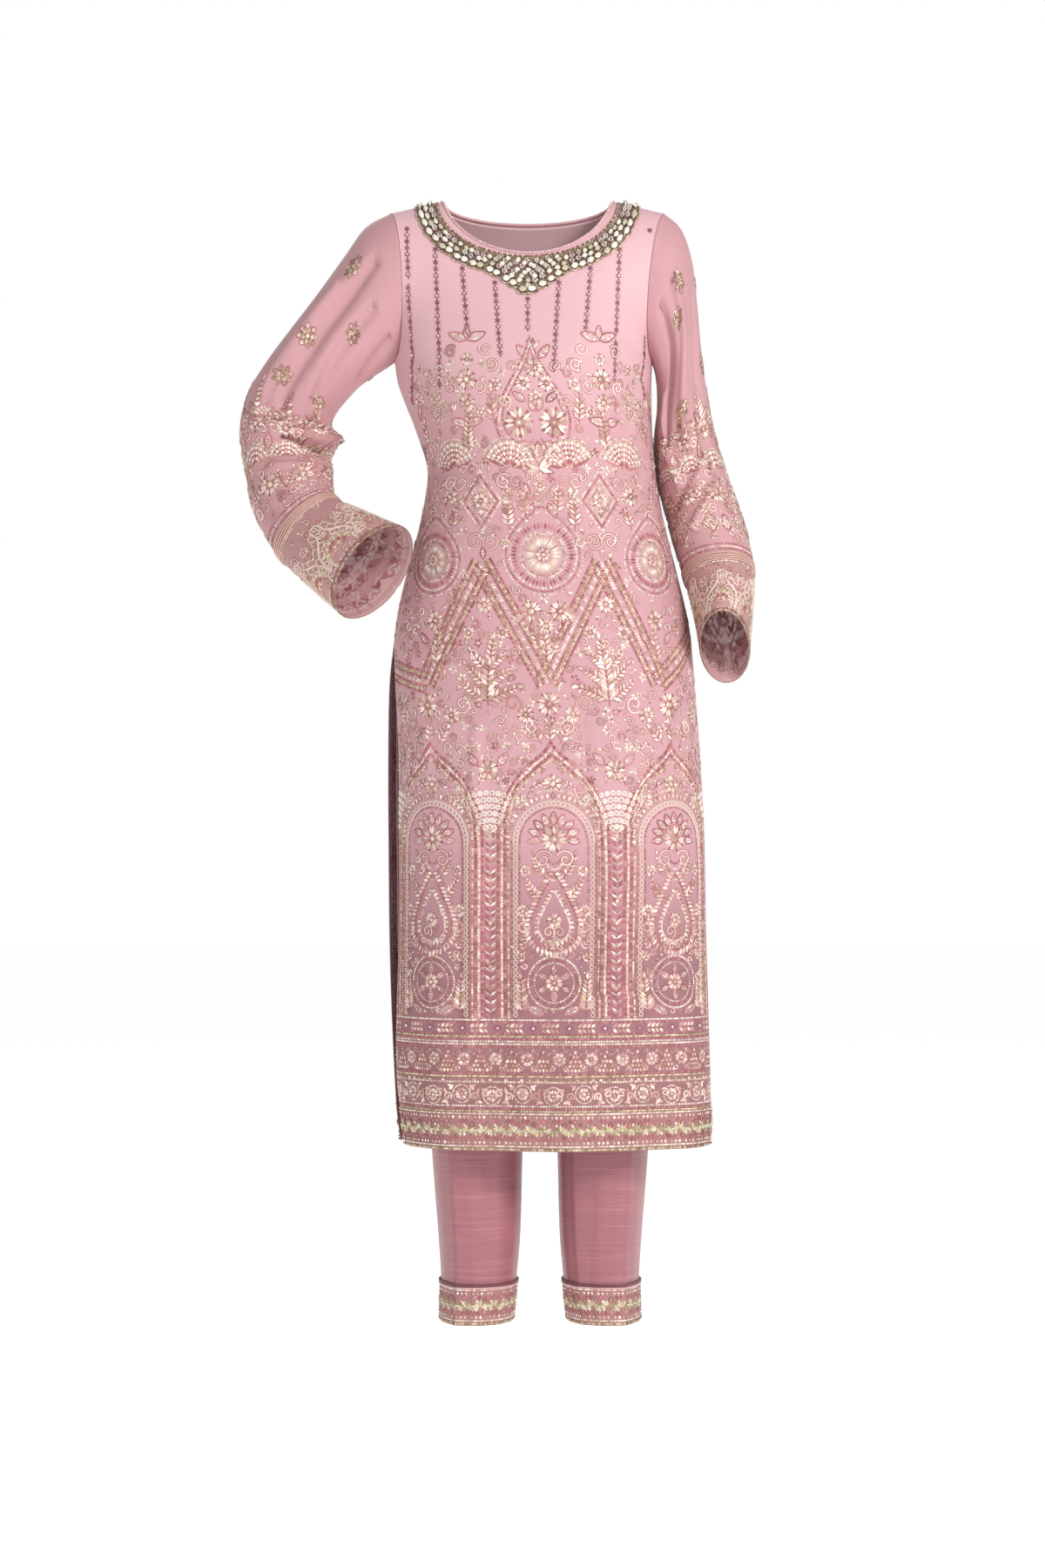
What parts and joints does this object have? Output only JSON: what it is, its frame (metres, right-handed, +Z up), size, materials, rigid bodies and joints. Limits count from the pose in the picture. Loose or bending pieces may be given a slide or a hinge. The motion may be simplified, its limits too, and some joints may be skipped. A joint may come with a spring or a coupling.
{
  "type": "salwar kameez suit",
  "caption": "Worn-shape embroidered tunic with side slits, long cuffed sleeves and a stone-set neck, over straight cropped trousers with matching borders.",
  "frame": {"origin": "midway between the two points where the shoulder seams meet the neck, where the wearer's shoulders carry the tunic", "axes": "+Z up, -Y towards the front of the garment, +X towards the wearer's left"},
  "size_m": [0.6072, 0.251, 1.3085],
  "materials": {
    "embroidered_net": "sheer dusty-pink net, matte with a faint sheen, embroidered all over",
    "sleeve_net": "sheer warm-pink net with soft sheen, embroidered from the elbow down",
    "lining_cloth": "smooth pale-pink lining with a soft sheen",
    "cuff_organza": "crisp see-through organza with ivory and antique-gold scrolls",
    "gold_braid": "twisted rose and antique-gold braid, soft metallic glint",
    "stone_band": "net closely set with milky and clear faceted stones in dark claws",
    "neck_binding": "pink bias binding with small beads",
    "embroidered_border": "dense silk and metal thread embroidery, slightly raised",
    "raw_silk": "dusty-rose raw silk with slubs across it and a low sheen",
    "dark_piping": "dark rose corded piping"
  },
  "bodies": {
    "root": {"kameez_front": "embroidered_net", "kameez_back": "embroidered_net", "lining_front": "lining_cloth", "lining_back": "lining_cloth", "sleeve_right": "sleeve_net", "sleeve_left": "sleeve_net", "cuff_right": "cuff_organza", "cuff_left": "cuff_organza", "cuff_braid_right": "gold_braid", "cuff_braid_left": "gold_braid", "neck_band": "stone_band", "neck_binding": "neck_binding", "hem_border_front": "embroidered_border", "hem_border_back": "embroidered_border", "trouser_front_right": "raw_silk", "trouser_front_left": "raw_silk", "trouser_back_right": "raw_silk", "trouser_back_left": "raw_silk", "waistband": "raw_silk", "leg_border_right": "embroidered_border", "leg_border_left": "embroidered_border", "leg_piping_right": "dark_piping", "leg_piping_left": "dark_piping"}
  },
  "joints": []
}
